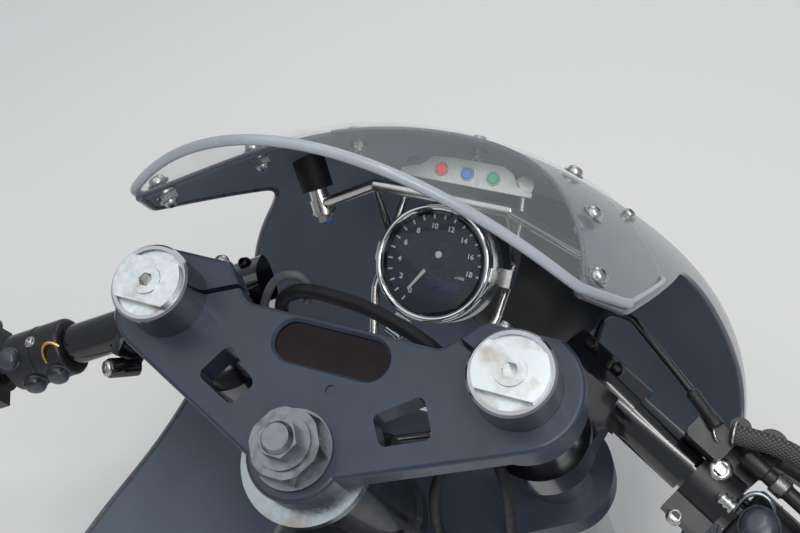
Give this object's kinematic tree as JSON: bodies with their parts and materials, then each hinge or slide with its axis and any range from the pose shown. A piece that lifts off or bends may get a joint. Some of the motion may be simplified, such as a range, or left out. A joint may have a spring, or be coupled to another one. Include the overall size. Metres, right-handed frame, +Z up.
{
  "type": "motorcycle cockpit with half fairing",
  "caption": "Front end of a classic racing motorcycle: top yoke, fork tubes, clip-on handlebars, rev counter and half fairing with clear screen.",
  "frame": {"origin": "centre of the mouth of the headstock's spine socket", "axes": "+X to the rider's left, +Y to the rear along the spine socket, +Z up; the nose faces -Y"},
  "size_m": [0.9512, 0.4923, 0.5632],
  "materials": {
    "yoke_paint": "satin blue-black",
    "window_smoke": "smoked, glossy",
    "nut_steel": "worn machined steel",
    "ring_alloy": "turned, polished",
    "fork_chrome": "hard chrome",
    "cap_alloy": "silver anodised",
    "gloss_black": "gloss black",
    "satin_black": "satin black",
    "grip_rubber": "matt",
    "frame_paint": "satin",
    "fairing_paint": "gloss mauve-grey outside, matt inside",
    "screen_clear": "clear acrylic",
    "stay_steel": "bright plated rod",
    "bobbin_rubber": "matt",
    "gauge_chrome": "polished",
    "dial_black": "matt with white marks",
    "needle_white": "matt",
    "gauge_glass": "clear",
    "lamp_alloy": "satin",
    "lens_red": "glossy lens",
    "lens_blue": "glossy lens",
    "lens_green": "glossy lens",
    "lamp_bowl": "bright reflector",
    "lamp_glass": "clear moulded glass"
  },
  "bodies": {
    "root": {"headstock": "frame_paint", "fairing_shell": "fairing_paint", "screen": "screen_clear", "fairing_stay": "stay_steel", "stay_bobbins": "bobbin_rubber", "gauge_cup": "gauge_chrome", "gauge_bezel": "gauge_chrome", "gauge_band": "stay_steel", "gauge_dial": "dial_black", "gauge_needle": "needle_white", "gauge_glass": "gauge_glass", "lamp_plate": "lamp_alloy", "lamp_red": "lens_red", "lamp_blue": "lens_blue", "lamp_green": "lens_green", "headlamp_bowl": "lamp_bowl", "headlamp_rim": "gauge_chrome", "headlamp_glass": "lamp_glass"},
    "steering": {"top_yoke": "yoke_paint", "dash_window": "window_smoke", "steering_stem": "nut_steel", "stem_nut": "nut_steel", "bearing_cover": "ring_alloy", "lower_yoke": "yoke_paint", "fork_tube_left": "fork_chrome", "fork_tube_right": "fork_chrome", "fork_cap_left": "cap_alloy", "fork_cap_right": "cap_alloy", "fork_adjusters": "cap_alloy", "clipon_left": "gloss_black", "clipon_right": "gloss_black", "bar_left": "gloss_black", "bar_right": "gloss_black", "grip_left": "grip_rubber", "grip_right": "grip_rubber", "bar_end_left": "satin_black", "bar_end_right": "satin_black", "clutch_perch": "satin_black", "clutch_lever": "satin_black", "brake_master": "satin_black", "brake_lever": "satin_black", "switch_pod_left": "satin_black", "switch_pod_right": "satin_black", "loom": "grip_rubber", "brake_hose": "grip_rubber"}
  },
  "joints": [
    {"name": "steering_turn", "type": "hinge", "parent": "root", "child": "steering", "pos_m": [0, -0.072, 0.105], "axis": [0, 0.4226, 0.9063], "range_deg": [-20, 20]}
  ]
}
